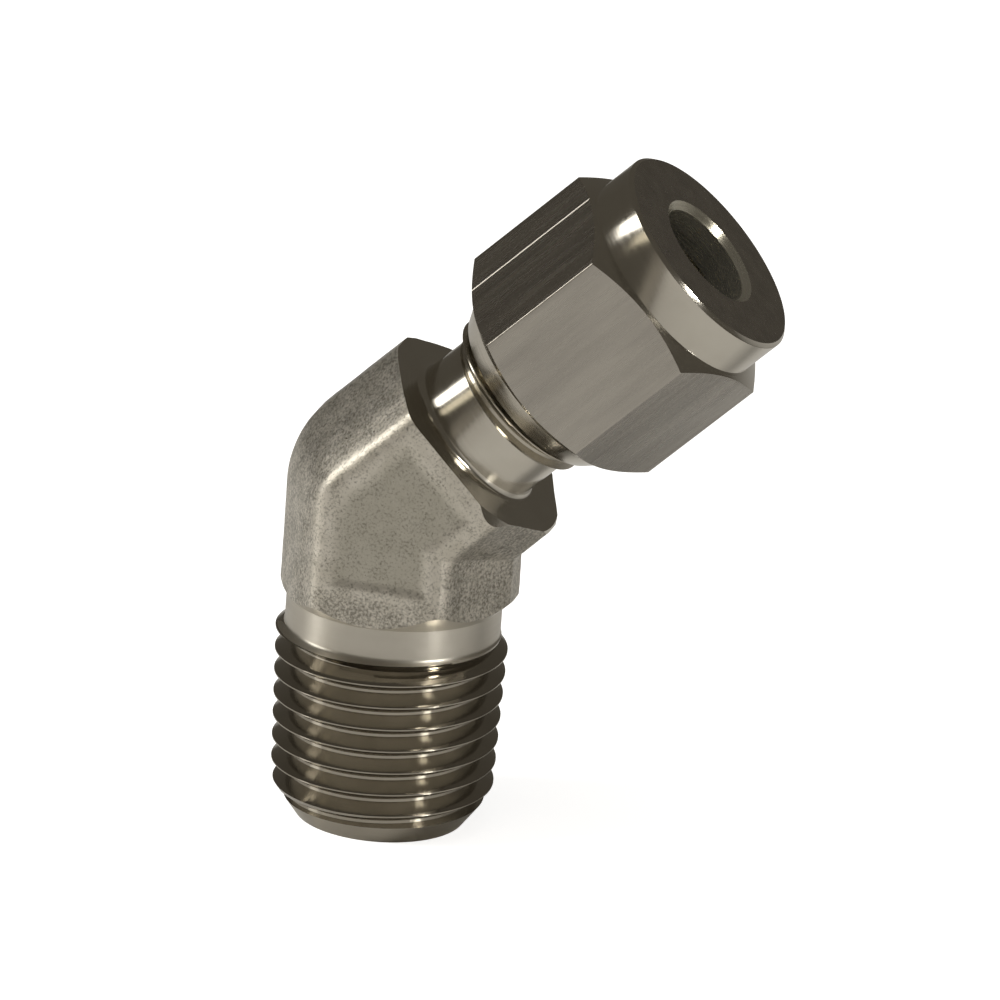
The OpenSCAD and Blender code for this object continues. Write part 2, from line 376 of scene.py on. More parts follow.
@dataclass
class ForgedBlock:
    """The die forging between the two turned ends, with its recessed panel."""

    bend_height: float
    bend_angle: float
    flat_y: float = 6.62
    outer_flat: float = 3.4
    inner_flat: float = 4.6
    outer_side: tuple[Point, ...] = ((4.7, 5.0), (5.38, 4.0), (6.56, 2.0), (6.98, 1.0))
    inner_side: tuple[Point, ...] = ((5.35, 4.9), (5.92, 3.8), (6.68, 2.5), (7.46, 1.05))
    forged_edge_r: float = 1.4
    lower_shoulder: float = 14.05
    upper_shoulder: float = 6.05
    upper_corner_r: float = 7.3
    pipe_neck_r: float = 6.55
    panel_outer_rim: float = 1.3
    panel_inner_rim: float = 1.2
    panel_lower_rim: float = 2.6
    panel_upper_rim: float = 1.3
    panel_depth: float = 0.16
    panel_edge: float = 0.8
    voxel: float = 0.14
    smoothing: int = 4
    spare: float = 2.5
    seam: float = 0.02
    reach: float = 16.0

    def half_section(self, mesh: Shape, flat: float, side: Profile) -> bmesh.types.BMFace:
        """Draws half the forging's section, on the +X side, with round edges on its flats.

        Args:
            mesh: The mesh that gets the section, at height zero.
            flat: Distance from the axis to the edge of the front and back flats.
            side: Corners of the slanted side, from the flat to the trimmed strip.

        Returns:
            The face of the section.
        """
        places = [(0, -self.flat_y), (flat, -self.flat_y)]
        places += [(x, -y) for x, y in side]
        places += [(x, -y) for x, y in reversed(places)]
        loop = [mesh.verts.new((x, y, 0)) for x, y in places]
        mesh.faces.new(loop)
        first_x, first_y = side[0]
        slant = math.atan2(first_x - flat, self.flat_y - first_y)
        run = self.forged_edge_r * math.tan((math.pi / 2 - slant) / 2)
        bmesh.ops.bevel(
            mesh,
            geom=[loop[1], loop[-2]],
            offset=run,
            segments=6,
            profile=0.5,
            affect="VERTICES",
            material=-1,
        )
        return mesh.faces[:][0]

    def arm(self, low: float, high: float) -> Shape:
        """A straight arm of the forging along Z, between two heights, as two halves.

        Args:
            low: Height of its lower end.
            high: Height of its upper end.

        Returns:
            Both halves in one mesh, lapping over the middle plane.
        """
        whole = bmesh.new()
        carrier = bpy.data.meshes.new("half_arm")
        inner = (self.inner_flat, self.inner_side, 1)
        outer = (self.outer_flat, self.outer_side, -1)
        for flat, side, turn in (inner, outer):
            half = bmesh.new()
            face = self.half_section(half, flat, side)
            raised = bmesh.ops.extrude_face_region(half, geom=[face])["geom"]
            moved = [item for item in raised if isinstance(item, bmesh.types.BMVert)]
            bmesh.ops.translate(half, verts=moved, vec=(0, 0, high - low))
            bmesh.ops.translate(half, verts=half.verts, vec=(-self.seam, 0, low))
            bmesh.ops.scale(half, verts=half.verts, vec=(turn, 1, 1))
            bmesh.ops.recalc_face_normals(half, faces=half.faces)
            half.to_mesh(carrier)
            half.free()
            whole.from_mesh(carrier)
        bpy.data.meshes.remove(carrier)
        return whole

    def bend(self) -> Shape:
        """The outer half section swept round the point where the axes meet.

        Returns:
            The swept mesh, a little longer than the bend at both ends.
        """
        overlap, bend_steps = math.radians(4), 24
        mesh = bmesh.new()
        face = self.half_section(mesh, self.outer_flat, self.outer_side)
        bmesh.ops.scale(mesh, verts=mesh.verts, vec=(-1, 1, 1))
        bmesh.ops.translate(mesh, verts=mesh.verts, vec=(self.seam, 0, 0))
        back = Matrix.Rotation(-overlap, 3, "Y")
        bmesh.ops.rotate(mesh, verts=mesh.verts, cent=(0, 0, 0), matrix=back)
        bmesh.ops.spin(
            mesh,
            geom=[face] + list(face.edges) + list(face.verts),
            cent=(0, 0, 0),
            axis=(0, 1, 0),
            angle=self.bend_angle + 2 * overlap,
            steps=bend_steps,
        )
        bmesh.ops.translate(mesh, verts=mesh.verts, vec=(0, 0, self.bend_height))
        bmesh.ops.recalc_face_normals(mesh, faces=mesh.faces)
        return mesh

    def panel_distance(self, x: float, z: float) -> float:
        """How far a point of the front flat lies outside the recessed panel.

        Args:
            x: The point's place across the pipe axis.
            z: Its height.

        Returns:
            Distance in millimetres, negative inside the panel.
        """
        outer = self.outer_flat - self.panel_outer_rim
        inner = self.inner_flat - self.panel_inner_rim

        def slab(across: float, along: float, low: float, high: float) -> float:
            """How far a place lies outside the panel's straight stretch on one arm.

            Args:
                across: The place across the arm.
                along: The place along it.
                low: Where the stretch starts.
                high: Where it ends.

            Returns:
                Distance in millimetres, negative inside.
            """
            off_x = max(-outer - across, across - inner)
            off_z = max(low - along, along - high)
            if off_x > 0 and off_z > 0:
                return math.hypot(off_x, off_z)
            return max(off_x, off_z)

        rise = z - self.bend_height
        sin_bend, cos_bend = math.sin(self.bend_angle), math.cos(self.bend_angle)
        across = x * cos_bend - rise * sin_bend
        along = x * sin_bend + rise * cos_bend
        lower = slab(x, z, self.lower_shoulder + self.panel_lower_rim, self.bend_height)
        upper = slab(across, along, 0, self.upper_shoulder - self.panel_upper_rim)
        return min(lower, upper, math.hypot(x, rise) - outer)

    def weathered(self, piece: Piece) -> None:
        """Presses the panel in and gives the skin the slight waves of a forging.

        Args:
            piece: The piece, in millimetres.
        """
        wave_size, wave_height = 2.6, 0.035
        grain_size, grain_height = 0.55, 0.012
        near = 0.6
        spots = [vert.co.copy() for vert in piece.data.vertices]
        normals = [vert.normal.copy() for vert in piece.data.vertices]
        places: list[float] = []
        for spot, normal in zip(spots, normals):
            wave = noise.noise(spot / wave_size) * wave_height
            wave += noise.noise(spot / grain_size) * grain_height
            shift = normal * wave
            if spot.y < -self.flat_y + near:
                edge = self.panel_distance(spot.x, spot.z) / self.panel_edge + 0.5
                share = clamped(1 - edge)
                shift.y += self.panel_depth * share * share * (3 - 2 * share)
            places.extend(spot + shift)
        piece.data.vertices.foreach_set("co", places)
        piece.data.update()

    def mark_skin(self, piece: Piece) -> None:
        """Notes how deep each vertex lies in the panel, for its painted shade, and how pitted the
        skin is.

        Args:
            piece: The piece, in millimetres.
        """
        hollow, pitted = [], []
        edge_shift = 0.4
        flat_rim, flat_fade = 0.25, 0.8
        low_end, low_fade = self.lower_shoulder + self.panel_lower_rim, 1.5
        for vert in piece.data.vertices:
            x, y, z = vert.co
            inside = -self.panel_distance(x, z) / self.panel_edge + edge_shift
            hollow.append(clamped(inside) if y < 0 else 0.0)
            slanted = clamped((self.flat_y - flat_rim - abs(y)) / flat_fade)
            pitted.append(max(slanted, clamped((low_end - z) / low_fade)))
        for name, values in (("hollow", hollow), ("pitted", pitted)):
            piece.data.attributes.new(name, "FLOAT", "POINT").data.foreach_set("value", values)

    def forging(self) -> Piece:
        """The forging as it leaves the die, longer than the machined block.

        Returns:
            One closed object with a skin of even facets.
        """
        upright = Matrix.Identity(4)
        merged = bpy.data.meshes.new("forging")
        whole = bmesh.new()
        lower = self.arm(self.lower_shoulder - self.spare, self.bend_height + self.seam)
        upper = self.arm(-self.seam, self.upper_shoulder + self.spare)
        leaning = arm_matrix(self.bend_height, self.bend_angle)
        parts = ((lower, upright), (self.bend(), upright), (upper, leaning))
        for part, place in parts:
            bmesh.ops.transform(part, matrix=place, verts=part.verts)
            part.to_mesh(merged)
            part.free()
            whole.from_mesh(merged)
        bpy.data.meshes.remove(merged)
        piece = into_object(whole, "forging")
        remesh = piece.modifiers.new("remesh", "REMESH")
        remesh.mode = "VOXEL"
        remesh.voxel_size = self.voxel
        soften = piece.modifiers.new("soften", "SMOOTH")
        soften.factor = 0.5
        soften.iterations = self.smoothing
        settled(piece)
        self.weathered(piece)
        return piece

    def turning(self, shoulder: float, corner_r: float, far: float, finish: Finish) -> Shape:
        """What a lathe leaves on one side of a shoulder: a 45 degree cone, then all the rest.

        Args:
            shoulder: Height of the flat shoulder.
            corner_r: Radius at which the cone starts.
            far: Height past the block's other end, on the side that stays.
            finish: The finish of the cut.

        Returns:
            The space that stays, as a closed mesh.
        """
        cone = math.copysign(self.reach - corner_r, far - shoulder)
        profile = [
            (0, shoulder),
            (corner_r, shoulder),
            (self.reach, shoulder + cone),
            (self.reach, far),
            (0, far),
        ]
        return revolved(profile, finish)

    def build(self) -> Piece:
        """The forging with both its ends turned.

        Returns:
            One closed object.
        """
        piece = self.forging()
        far = self.bend_height + self.reach
        lower = self.turning(self.lower_shoulder, self.pipe_neck_r, far, Finish.PIPE_NECK)
        combined(piece, into_object(lower, "lower_turning"), Cut.KEEP)
        upper = self.turning(self.upper_shoulder, self.upper_corner_r, -self.reach, Finish.TURNED)
        place = arm_matrix(self.bend_height, self.bend_angle)
        combined(piece, into_object(upper, "upper_turning", place), Cut.KEEP)
        return piece


@dataclass
class PipeEnd:
    """The taper pipe thread with its long lead chamfer and the plain neck above it."""

    neck_r: float
    end_r: float = 5.2
    lead_len: float = 2.2
    relief: tuple[Point, ...] = (
        (6.98, 11.86),
        (6.82, 11.96),
        (6.69, 12.05),
        (6.6, 12.13),
        (6.56, 12.21),
        (6.55, 12.3),
    )
    run_out: tuple[Point, ...] = ((6.06, 11.25), (6.3, 11.48), (6.5, 11.68), (6.6, 11.9))
    clearance: float = 0.02
    relief_start: float = 11.8
    top: float = 15.0
    thread: ThreadForm = ThreadForm(
        pitch=1.411,
        crest_r=6.72,
        depth=1.02,
        crest_height=10.63,
        crest_angle=-math.pi / 2,
        crest_flat=0.1,
        root_flat=0.1,
        finish=Finish.PIPE_THREAD,
        taper=1 / 32,
    )

    def envelope(self) -> Piece:
        """What the lathe leaves: lead chamfer, crests, run-out flare and plain neck.

        Returns:
            A closed object that trims the threaded rod.
        """
        form = self.thread
        outside = form.crest_r + self.clearance
        crest = outside + form.taper * self.relief_start
        bottom = outside + form.taper * self.lead_len
        profile = [(0, 0), (self.end_r, 0), (bottom, self.lead_len), (crest, self.relief_start)]
        profile += [*self.relief, (self.neck_r, self.top), (0, self.top)]
        mesh = revolved(profile, Finish.PIPE_THREAD, PIPE_STEPS)
        for face in mesh.faces:
            if face.calc_center_median().z > self.relief[0][1]:
                face.material_index = Finish.PIPE_NECK.value
        return into_object(mesh, "pipe_envelope")

    def build(self) -> Piece:
        """The pipe end as one closed solid along Z.

        Returns:
            The solid, with its end face at zero.
        """
        form = self.thread
        root = form.crest_r - form.depth
        profile = [(0, -1), (root, -1), *self.run_out]
        profile += [(self.neck_r + 0.05, self.top + 1), (0, self.top + 1)]
        rod = into_object(revolved(profile, Finish.PIPE_THREAD, PIPE_STEPS), "pipe_core")
        combined(rod, form.ridge(-1.5, self.relief[-1][1]), Cut.JOIN)
        combined(rod, self.envelope(), Cut.KEEP)
        return rod


@dataclass
class TubeEnd:
    """The neck, the nut's thread and the socket for the tube, as stations on the arm."""

    shoulder: float
    neck_r: float = 4.72
    fillet: float = 0.4
    neck_end: float = 9.2
    lead_len: float = 0.66
    body_end: float = 17.5
    end_chamfer: float = 0.45
    tube_r: float = 3.25
    passage_r: float = 2.4
    tube_stop: float = 9.8
    seat_start: float = 13.5
    seat_mouth_r: float = 4.1
    core_lap: float = 0.3
    neck_lap: float = 0.2
    neck_rise: float = 0.02
    clearance: float = 0.01
    thread: ThreadForm = ThreadForm(
        pitch=1.27,
        crest_r=5.46,
        depth=0.72,
        crest_height=10.35,
        crest_angle=-math.pi / 2,
        crest_flat=0.1,
        root_flat=0.14,
    )

    def build(self) -> Piece:
        """The tube end as one closed solid along Z.

        Returns:
            The solid, not yet placed on its arm.
        """
        form = self.thread
        root = form.crest_r - form.depth
        start = self.neck_end - self.core_lap
        core = [(0, start), (root, start), (root, self.body_end), (0, self.body_end)]
        rod = into_object(revolved(core, Finish.TUBE_THREAD), "tube_core")
        combined(rod, form.ridge(self.neck_end - 1, self.body_end + 1), Cut.JOIN)
        crest = form.crest_r + self.clearance
        start = self.neck_end - self.neck_lap
        envelope = [
            (0, start),
            (self.neck_r - self.neck_lap, start),
            (self.neck_r, self.neck_end),
            (crest, self.neck_end + self.lead_len),
            (crest, self.body_end - self.end_chamfer),
            (crest - self.end_chamfer, self.body_end),
            (0, self.body_end),
        ]
        tool = into_object(revolved(envelope, Finish.TURNED), "tube_envelope")
        combined(rod, tool, Cut.KEEP)
        foot_r = self.neck_r + self.fillet
        neck = [(0, self.shoulder - 1), (foot_r, self.shoulder - 1)]
        neck += arc((foot_r, self.shoulder + self.fillet), self.fillet, -90, -180, 6)
        neck_top = self.neck_end + self.neck_rise
        neck += [(self.neck_r, neck_top), (0, neck_top)]
        combined(rod, into_object(revolved(neck, Finish.TURNED), "tube_neck"), Cut.JOIN)
        return rod

    def boring(self) -> Piece:
        """Everything that is bored out of the tube end, back to the bend.

        Returns:
            The bore as a closed object along Z.
        """
        profile = [
            (0, -self.passage_r * DRILL_TIP),
            (self.passage_r, 0),
            (self.passage_r, self.tube_stop),
            (self.tube_r, self.tube_stop),
            (self.tube_r, self.seat_start),
            (self.seat_mouth_r, self.body_end),
            (self.seat_mouth_r, self.body_end + 1),
            (0, self.body_end + 1),
        ]
        return into_object(revolved(profile, Finish.BORED, BORE_STEPS), "tube_boring")


@dataclass
class ElbowBody:
    """The whole body: the forging with its pipe end and tube end, drilled through."""

    bend_height: float = 20.86
    bend_angle: float = math.radians(45)
    passage_r: float = 2.4
    passage_chamfer: float = 0.35

    def build(self) -> Piece:
        """Makes the body in millimetres.

        Returns:
            One closed object with the finishes as material numbers.
        """
        place = arm_matrix(self.bend_height, self.bend_angle)
        block = ForgedBlock(self.bend_height, self.bend_angle)
        piece = block.build()
        combined(piece, PipeEnd(block.pipe_neck_r).build(), Cut.JOIN)
        tube = TubeEnd(block.upper_shoulder)
        end = tube.build()
        end.data.transform(place)
        combined(piece, end, Cut.JOIN)
        tip = self.passage_r * DRILL_TIP
        drill = [
            (0, -1),
            (self.passage_r + self.passage_chamfer + 1, -1),
            (self.passage_r, self.passage_chamfer),
            (self.passage_r, self.bend_height),
            (0, self.bend_height + tip),
        ]
        tool = into_object(revolved(drill, Finish.BORED, BORE_STEPS), "drill")
        combined(piece, tool, Cut.REMOVE)
        boring = tube.boring()
        boring.data.transform(place)
        combined(piece, boring, Cut.REMOVE)
        block.mark_skin(piece)
        piece.name = "elbow_forging"
        return piece


@dataclass
class Nut:
    """The hexagon nut with its turned ends and its own thread."""

    thread: ThreadForm
    place: Matrix
    across_flats: float = 14.29
    back: float = 10.76
    end: float = 25.01
    back_r: float = 5.7
    cone_r: float = 6.5
    cone_len: float = 1.3
    collar_base: float = 22.27
    collar_r: float = 6.86
    collar_chamfer: float = 0.22
    hex_chamfer: float = math.radians(30)
    bore_r: float = 4.98
    thread_end: float = 19.4
    chamber_r: float = 4.65
    inner_shoulder: float = 21.16
    land_start: float = 22.56
    tube_r: float = 3.25
    bore_chamfer: float = 0.4
    play: float = 0.06
    edge: float = 0.07

    def hexagon(self) -> Piece:
        """The drawn bar that the nut is cut from, with its corners at plus and minus X.

        Returns:
            The bar as a closed object along Z.
        """
        mesh = bmesh.new()
        corner_r = self.across_flats / 2 / math.cos(math.radians(30))
        ring = bmesh.ops.create_circle(mesh, cap_ends=True, segments=6, radius=corner_r)["verts"]
        turn = math.pi / 2
        bmesh.ops.rotate(mesh, verts=ring, cent=(0, 0, 0), matrix=Matrix.Rotation(turn, 3, "Z"))
        bmesh.ops.translate(mesh, verts=ring, vec=(0, 0, self.back))
        raised = bmesh.ops.extrude_face_region(mesh, geom=list(mesh.faces))["geom"]
        moved = [item for item in raised if isinstance(item, bmesh.types.BMVert)]
        bmesh.ops.translate(mesh, verts=moved, vec=(0, 0, self.end - self.back))
        bmesh.ops.recalc_face_normals(mesh, faces=mesh.faces)
        upright = [e for e in mesh.edges if abs(e.verts[0].co.z - e.verts[1].co.z) > 1]
        bmesh.ops.bevel(
            mesh,
            geom=upright,
            offset=self.edge,
            segments=3,
            profile=0.5,
            affect="EDGES",
            material=-1,
        )
        for face in mesh.faces:
            face.material_index = Finish.DRAWN.value
        return into_object(mesh, "hexagon")

    def turning(self) -> Piece:
        """The outside that the lathe leaves: back cone, corner chamfers and collar.

        Returns:
            A closed object that trims the bar.
        """
        reach = 10.0
        slope = math.tan(self.hex_chamfer)
        cone_top = self.back + self.cone_len
        rim = self.edge
        profile = [
            (0, self.back),
            (self.back_r, self.back),
            (self.cone_r, cone_top),
            (reach, cone_top + (reach - self.cone_r) * slope),
            (reach, self.collar_base - (reach - self.collar_r) * slope),
            (self.collar_r + 0.02, self.collar_base),
            (self.collar_r, self.collar_base + 0.05),
            (self.collar_r, self.end - self.collar_chamfer),
            (self.collar_r - 0.5 * rim, self.end - self.collar_chamfer + 0.35 * rim),
            (self.collar_r - self.collar_chamfer, self.end),
            (0, self.end),
        ]
        return into_object(revolved(profile, Finish.TURNED), "nut_turning")

    def boring(self) -> Piece:
        """The nut's bore, from its thread to its mouth.

        Returns:
            The bore as a closed object along Z.
        """
        mouth = 0.55
        profile = [
            (0, self.back - 1),
            (self.bore_r + mouth + 1, self.back - 1),
            (self.bore_r, self.back + mouth),
            (self.bore_r, self.thread_end),
            (self.chamber_r, self.thread_end + self.bore_r - self.chamber_r),
            (self.chamber_r, self.inner_shoulder),
            (self.tube_r, self.land_start),
            (self.tube_r, self.end - self.bore_chamfer),
            (self.tube_r + self.bore_chamfer + 1, self.end + 1),
            (0, self.end + 1),
        ]
        return into_object(revolved(profile, Finish.BORED, BORE_STEPS), "nut_boring")

    def groove(self) -> Piece:
        """The helical groove that takes the body's thread, with running play.

        Returns:
            The groove as a closed object along Z.
        """
        ridge = self.thread.ridge(self.back - 2, self.thread_end, grow=self.play)
        low, wide, limit_steps = self.back - 3, 7.0, 64
        profile = [(0, low), (wide, low), (wide, self.thread_end), (0, self.thread_end)]
        limit = revolved(profile, Finish.TUBE_THREAD, limit_steps)
        return combined(ridge, into_object(limit, "limit"), Cut.KEEP)

    def build(self) -> Piece:
        """Makes the nut in millimetres, on the tube arm.

        Returns:
            One closed object.
        """
        piece = combined(self.hexagon(), self.turning(), Cut.KEEP)
        combined(piece, self.boring(), Cut.REMOVE)
        combined(piece, self.groove(), Cut.REMOVE)
        piece.data.transform(self.place)
        piece.name = "hexagon_nut"
        return piece


@dataclass(frozen=True)
class Steel:
    """A stainless steel surface: its colour, gloss and the marks of how it was made.

    Distances are in millimetres. Patterns lie in the coordinates of one arm of the
    fitting, with its axis as Z.
    """

    name: str
    colour: str
    stain: str
    roughness: float
    rough_spread: float = 0.04
    mark_size: float = 0.14
    mark_depth: float = 0.0016
    stain_size: float = 2.5
    stain_share: float = 0.5
    metallic: float = 1.0

    def material(self, arm: Matrix) -> bpy.types.Material:
        """Makes the material.

        Args:
            arm: Where the arm lies, in millimetres.

        Returns:
            The material, in object coordinates.
        """
        made = bpy.data.materials.new(self.name)
        tree = bare_tree(made)
        place = add_node(tree, "ShaderNodeTexCoord").outputs["Object"]
        inverse = arm.inverted()
        spot = add_node(
            tree,
            "ShaderNodeMapping",
            {
                "Vector": place,
                "Rotation": inverse.to_euler(),
                "Location": inverse.translation,
                "Scale": (1 / MM, 1 / MM, 1 / MM),
            },
            vector_type="POINT",
        ).outputs[0]
        marks = self.marks(tree, spot)
        bump = add_node(
            tree, "ShaderNodeBump", {"Height": marks, "Distance": self.mark_depth * MM}
        ).outputs[0]
        shader = add_node(
            tree,
            "ShaderNodeBsdfPrincipled",
            {
                "Base Color": self.tint(tree, spot),
                "Metallic": self.metallic,
                "Roughness": self.gloss(tree, marks),
                "Normal": bump,
            },
        )
        self.lay(tree, shader, arm, place)
        add_node(tree, "ShaderNodeOutputMaterial", {"Surface": shader.outputs[0]})
        return made

    def marks(self, tree: Tree, spot: Socket) -> Socket:
        """Height of the surface's fine marks: an even grain, if nothing drew it out.

        Args:
            tree: The material's node tree.
            spot: Place on the arm in millimetres, with the arm's axis as Z.

        Returns:
            Height, from 0 to 1.
        """
        return add_node(
            tree,
            "ShaderNodeTexNoise",
            {"Vector": spot, "Scale": 1 / self.mark_size, "Detail": 4.0, "Roughness": 0.7},
        ).outputs[0]

    def tint(self, tree: Tree, spot: Socket) -> Socket:
        """Colour of the surface, with its slightly darker stains.

        Args:
            tree: The material's node tree.
            spot: Place on the arm in millimetres, with the arm's axis as Z.

        Returns:
            The colour.
        """
        cloud = add_node(
            tree,
            "ShaderNodeTexNoise",
            {"Vector": spot, "Scale": 1 / self.stain_size, "Detail": 3.0, "Roughness": 0.55},
        ).outputs[0]
        share = add_node(
            tree,
            "ShaderNodeMapRange",
            {"Value": cloud, "From Min": 0.35, "From Max": 0.7, "To Max": self.stain_share},
        ).outputs[0]
        return add_node(
            tree,
            "ShaderNodeMix",
            {0: share, 6: linear(self.colour), 7: linear(self.stain)},
            data_type="RGBA",
        ).outputs[2]

    def gloss(self, tree: Tree, marks: Socket) -> Socket:
        """Roughness, which follows the marks.

        Args:
            tree: The material's node tree.
            marks: Height of the marks.

        Returns:
            The roughness.
        """
        return add_node(
            tree,
            "ShaderNodeMapRange",
            {
                "Value": marks,
                "From Min": 0.3,
                "From Max": 0.7,
                "To Min": self.roughness - self.rough_spread,
                "To Max": self.roughness + self.rough_spread,
            },
        ).outputs[0]

    def lay(self, tree: Tree, shader: Node, arm: Matrix, place: Socket) -> None:
        """Turns the gloss along the lay of the marks, on a surface that has one."""


@dataclass(frozen=True)
class TurnedSteel(Steel):
    """Steel off the lathe: rings round the arm's axis, and a sheen that runs across them.

    Real feed marks stand about 0.05 mm apart, too fine to show, so they are drawn coarser.
    """

    sheen: float = 0.55
    drift: float = 0.9

    def marks(self, tree: Tree, spot: Socket) -> Socket:
        """Rings by radius and height, which fade in and out slowly along their turn.

        Args:
            tree: The material's node tree.
            spot: Place on the arm in millimetres, with the arm's axis as Z.

        Returns:
            Height, from 0 to 1.
        """
        apart = add_node(tree, "ShaderNodeSeparateXYZ", {0: spot}).outputs
        flat = add_node(tree, "ShaderNodeCombineXYZ", {0: apart[0], 1: apart[1]}).outputs[0]
        radius = add_node(tree, "ShaderNodeVectorMath", {0: flat}, operation="LENGTH").outputs[1]
        around = add_node(tree, "ShaderNodeVectorMath", {0: flat}, operation="NORMALIZE").outputs[0]
        turn = add_node(tree, "ShaderNodeSeparateXYZ", {0: around}).outputs
        fine = 1 / self.mark_size
        scaled = [
            add_node(tree, "ShaderNodeMath", {0: value, 1: factor}, operation="MULTIPLY").outputs[0]
            for value, factor in (
                (radius, fine),
                (apart[2], fine),
                (turn[0], self.drift),
                (turn[1], self.drift),
            )
        ]
        rings = add_node(tree, "ShaderNodeCombineXYZ", dict(enumerate(scaled[:3]))).outputs[0]
        return add_node(
            tree,
            "ShaderNodeTexNoise",
            {"Vector": rings, "W": scaled[3], "Scale": 1.0, "Detail": 2.0, "Roughness": 0.5},
            noise_dimensions="4D",
        ).outputs[0]

    def lay(self, tree: Tree, shader: Node, arm: Matrix, place: Socket) -> None:
        """Runs the rings' direction into the shader as its tangent.

        Args:
            tree: The material's node tree.
            shader: The shader of the surface.
            arm: Where the arm lies, in millimetres.
            place: Object coordinates, in metres.
        """
        groove = place
        for operation, sockets in (
            ("SUBTRACT", {1: arm.translation * MM}),
            ("CROSS_PRODUCT", {1: arm.to_3x3() @ Vector((0, 0, -1))}),
            ("NORMALIZE", {}),
        ):
            groove = add_node(
                tree, "ShaderNodeVectorMath", {0: groove, **sockets}, operation=operation
            ).outputs[0]
        groove = add_node(
            tree,
            "ShaderNodeVectorTransform",
            {0: groove},
            vector_type="VECTOR",
            convert_from="OBJECT",
            convert_to="WORLD",
        ).outputs[0]
        tree.links.new(groove, shader.inputs["Tangent"])
        shader.inputs["Anisotropic"].default_value = self.sheen
        shader.inputs["Anisotropic Rotation"].default_value = 0.25


@dataclass(frozen=True)
class DrawnSteel(Steel):
    """Cold drawn bar: streaks along the bar from the die, and one raised die line."""

    streak_length: float = 7.0
    band_narrowing: float = 2.2
    die_line: float = -6.98
    die_line_width: float = 0.055
    die_line_rise: float = 9.0

    def marks(self, tree: Tree, spot: Socket) -> Socket:
        """Streaks along the arm's axis, and the die line in multiples of their depth.

        Args:
            tree: The material's node tree.
            spot: Place on the arm in millimetres, with the arm's axis as Z.

        Returns:
            Height, from 0 to 1 apart from the die line.
        """
        scale = (1 / self.mark_size, 1 / self.mark_size, 1 / self.streak_length)
        drawn_out = add_node(
            tree, "ShaderNodeVectorMath", {0: spot, 1: scale}, operation="MULTIPLY"
        ).outputs[0]
        streaks = add_node(
            tree,
            "ShaderNodeTexNoise",
            {"Vector": drawn_out, "Scale": 1.0, "Detail": 4.0, "Roughness": 0.6},
        ).outputs[0]
        across = add_node(tree, "ShaderNodeSeparateXYZ", {0: spot}).outputs[0]
        apart = add_node(
            tree, "ShaderNodeMath", {0: across, 1: self.die_line}, operation="SUBTRACT"
        ).outputs[0]
        apart = add_node(tree, "ShaderNodeMath", {0: apart}, operation="ABSOLUTE").outputs[0]
        line = add_node(
            tree,
            "ShaderNodeMapRange",
            {
                "Value": apart,
                "From Max": self.die_line_width,
                "To Min": self.die_line_rise,
                "To Max": 0.0,
            },
        ).outputs[0]
        return add_node(tree, "ShaderNodeMath", {0: streaks, 1: line}, operation="ADD").outputs[0]

    def tint(self, tree: Tree, spot: Socket) -> Socket:
        """Stains that are drawn out along the bar into long bands.

        Args:
            tree: The material's node tree.
            spot: Place on the arm in millimetres, with the arm's axis as Z.

        Returns:
            The colour.
        """
        narrow = self.band_narrowing
        scale = (narrow, narrow, narrow / self.streak_length)
        drawn_out = add_node(
            tree, "ShaderNodeVectorMath", {0: spot, 1: scale}, operation="MULTIPLY"
        ).outputs[0]
        return super().tint(tree, drawn_out)


@dataclass(frozen=True)
class ForgedSkin(Steel):
    """Die forged and pickled skin: a matte grain with dark pits, and painted shade in the panel."""

    pit: str = "#625E54"
    pit_size: float = 0.17
    pit_range: tuple[float, float] = (0.44, 0.68)
    pit_share: float = 0.75
    crowd_size: float = 1.25
    crowd_weight: float = 0.3
    rough_weight: float = 0.1
    even_lift: float = -0.2
    # Colour of the painted shade in the recessed panel, and how much of it is laid on
    hollow: str = "#9A9688"
    hollow_share: float = 0.6

    def tint(self, tree: Tree, spot: Socket) -> Socket:
        """Stains, painted shade in the panel, and fine pits crowding where the skin was left rough.

        Args:
            tree: The material's node tree.
            spot: Place on the arm in millimetres, with the arm's axis as Z.

        Returns:
            The colour.
        """
        stained = super().tint(tree, spot)
        # How deep each point lies in the recessed panel sets how much painted shade it gets
        panel = add_node(tree, "ShaderNodeAttribute", attribute_name="hollow").outputs["Fac"]
        panel_share = add_node(
            tree, "ShaderNodeMath", {0: panel, 1: self.hollow_share}, operation="MULTIPLY"
        ).outputs[0]
        grit, crowd = (
            add_node(
                tree,
                "ShaderNodeTexNoise",
                {"Vector": spot, "Scale": 1 / size, "Detail": 3.0, "Roughness": roughness},
            ).outputs[0]
            for size, roughness in ((self.pit_size, 0.65), (self.crowd_size, 0.6))
        )
        rough = add_node(tree, "ShaderNodeAttribute", attribute_name="pitted").outputs["Fac"]
        depth = self.even_lift
        for value, weight in ((rough, self.rough_weight), (crowd, self.crowd_weight), (grit, 1.0)):
            depth = add_node(
                tree, "ShaderNodeMath", {0: value, 1: weight, 2: depth}, operation="MULTIPLY_ADD"
            ).outputs[0]
        low, high = self.pit_range
        pit_share = add_node(
            tree,
            "ShaderNodeMapRange",
            {"Value": depth, "From Min": low, "From Max": high, "To Max": self.pit_share},
        ).outputs[0]
        # Painted shade over the recessed panel first, then the dark pits
        shade = stained
        for share, colour in ((panel_share, self.hollow), (pit_share, self.pit)):
            shade = add_node(
                tree, "ShaderNodeMix", {0: share, 6: shade, 7: linear(colour)}, data_type="RGBA"
            ).outputs[2]
        return shade


